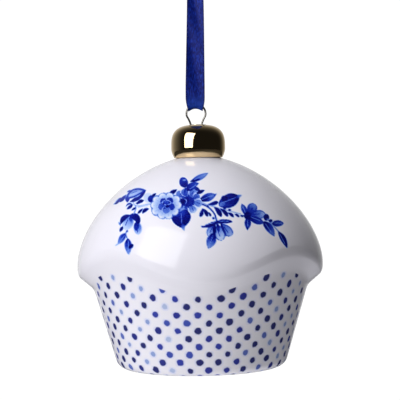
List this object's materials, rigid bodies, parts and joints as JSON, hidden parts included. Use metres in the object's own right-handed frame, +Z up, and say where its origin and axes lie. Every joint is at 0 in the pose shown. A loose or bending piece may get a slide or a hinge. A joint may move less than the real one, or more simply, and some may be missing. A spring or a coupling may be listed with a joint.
{
  "type": "porcelain hanging bell",
  "caption": "Small glazed porcelain bell shaped like an iced cake, with a gold cap, a wire hanger, a clapper on the same wire and a satin ribbon loop.",
  "frame": {"origin": "hanging point: where a hook bears on the underside of the ribbon's knot, on the bell's axis", "axes": "+Z up along the bell's axis, -Y towards the front lobe and the flower spray, +X to the right seen from the front"},
  "size_m": [0.07, 0.07, 0.1316],
  "materials": {
    "porcelain": "clear gloss glaze over white porcelain, cobalt blue spray and dots",
    "gold_plate": "mirror gold plate on thin spun brass",
    "steel_wire": "bright drawn steel wire",
    "plain_brass": "plain brass, dulled inside the bell",
    "felt": "pressed grey wool felt",
    "nylon": "natural nylon",
    "beech": "turned and oiled",
    "blue_satin": "woven satin ribbon"
  },
  "bodies": {
    "ribbon": {"ribbon": "blue_satin", "ribbon_knot": "blue_satin"},
    "hanger": {"hanger_wire": "steel_wire", "crimp_sleeve": "plain_brass"},
    "bell": {"porcelain_shell": "porcelain", "gold_cap": "gold_plate", "cap_pad": "felt", "crown_bush": "nylon", "felt_washer": "felt", "brass_washer": "plain_brass"},
    "clapper": {"clapper_rod": "steel_wire", "clapper_bead": "beech", "upper_crimp": "plain_brass", "lower_crimp": "plain_brass"}
  },
  "joints": [
    {"name": "hanger_swing", "type": "hinge", "parent": "ribbon", "child": "hanger", "pos_m": [0, 0, -0.04306], "axis": [1, 0, 0], "range_deg": [-60, 60]},
    {"name": "bell_swivel", "type": "hinge", "parent": "hanger", "child": "bell", "pos_m": [0, 0, -0.0524], "axis": [0, 0, 1], "continuous": true},
    {"name": "clapper_swing", "type": "hinge", "parent": "hanger", "child": "clapper", "pos_m": [0, 0, -0.0706], "axis": [1, 0, 0], "range_deg": [-31, 31]}
  ]
}
